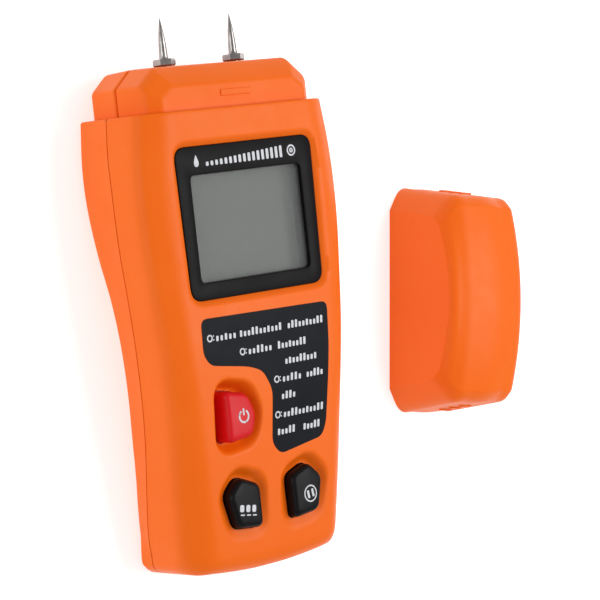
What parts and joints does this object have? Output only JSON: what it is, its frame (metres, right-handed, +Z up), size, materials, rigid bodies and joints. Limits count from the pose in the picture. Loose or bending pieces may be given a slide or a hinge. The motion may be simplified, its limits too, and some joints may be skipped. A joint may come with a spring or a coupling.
{
  "type": "moisture meter",
  "caption": "Handheld two-pin moisture meter lying on its back with a display, a printed label, push keys and its loose protective cap standing beside it.",
  "frame": {"origin": "middle of the meter's flat back, on the surface it lies on", "axes": "+X across the meter to the user's right, +Y along the meter towards the pins, +Z up out of the display"},
  "size_m": [0.1339, 0.1355, 0.0282],
  "materials": {
    "battery_case": "printed steel jacket",
    "battery_end": "black plastic",
    "black_plastic": "smooth black plastic",
    "black_rubber": "satin black key",
    "board_green": "green solder mask",
    "brass": "turned brass",
    "chip_black": "matt black moulding",
    "clear_lens": "clear polished window",
    "foam": "dark foam",
    "label_print": "printed black film",
    "lcd_grey": "grey-green liquid crystal glass",
    "lead_black": "black insulation",
    "lead_red": "red insulation",
    "lead_white": "white insulation",
    "nickel": "nickel plate",
    "orange_abs": "satin moulded orange ABS",
    "red_rubber": "satin red key",
    "silicone": "grey silicone",
    "steel": "bright steel",
    "trimmer_blue": "blue moulding"
  },
  "bodies": {
    "housing": {"amplifier_chip": "chip_black", "battery": "battery_case", "battery_lead_black": "lead_black", "battery_lead_red": "lead_red", "battery_snap_connector": "battery_end", "battery_stop": "foam", "battery_terminal_large": "steel", "battery_terminal_small": "steel", "calibration_trimmer": "trimmer_blue", "circuit_board": "board_green", "contact_strip_lower": "silicone", "contact_strip_upper": "silicone", "control_chip": "chip_black", "crystal": "steel", "display_bezel": "black_plastic", "display_lens": "clear_lens", "electrode_lead_left": "lead_white", "electrode_lead_right": "lead_white", "electrode_pin_left": "nickel", "electrode_pin_right": "nickel", "filter_capacitor": "chip_black", "front_shell": "orange_abs", "group_label": "label_print", "hold_contact_dome": "steel", "housing_screw_1": "steel", "housing_screw_2": "steel", "housing_screw_3": "steel", "housing_screw_4": "steel", "lcd_frame": "black_plastic", "lcd_glass": "lcd_grey", "mode_contact_dome": "steel", "pin_nut_left": "nickel", "pin_nut_right": "nickel", "power_contact_dome": "steel", "rear_shell": "orange_abs", "solder_lug_left": "nickel", "solder_lug_right": "nickel", "threaded_insert_left": "brass", "threaded_insert_right": "brass"},
    "power_key": {"power_button": "red_rubber"},
    "mode_key": {"mode_button": "black_rubber"},
    "hold_key": {"hold_button": "black_rubber"},
    "battery_door": {"battery_cover": "orange_abs"},
    "cap": {"protective_cap": "orange_abs"}
  },
  "joints": [
    {"name": "power_press", "type": "slide", "parent": "housing", "child": "power_key", "axis": [0, 0, -1], "range_m": [0, 0.00035], "stiffness_N_per_m": 3000, "springref_m": -0.0002},
    {"name": "mode_press", "type": "slide", "parent": "housing", "child": "mode_key", "axis": [0, 0, -1], "range_m": [0, 0.00035], "stiffness_N_per_m": 3000, "springref_m": -0.0002},
    {"name": "hold_press", "type": "slide", "parent": "housing", "child": "hold_key", "axis": [0, 0, -1], "range_m": [0, 0.00035], "stiffness_N_per_m": 3000, "springref_m": -0.0002},
    {"name": "battery_cover_slide", "type": "slide", "parent": "housing", "child": "battery_door", "axis": [0, -1, 0], "range_m": [0, 0.056]},
    {"name": "cap_lift", "type": "slide", "parent": "housing", "child": "cap", "axis": [0, 0, 1], "range_m": [0, 0.06]}
  ]
}
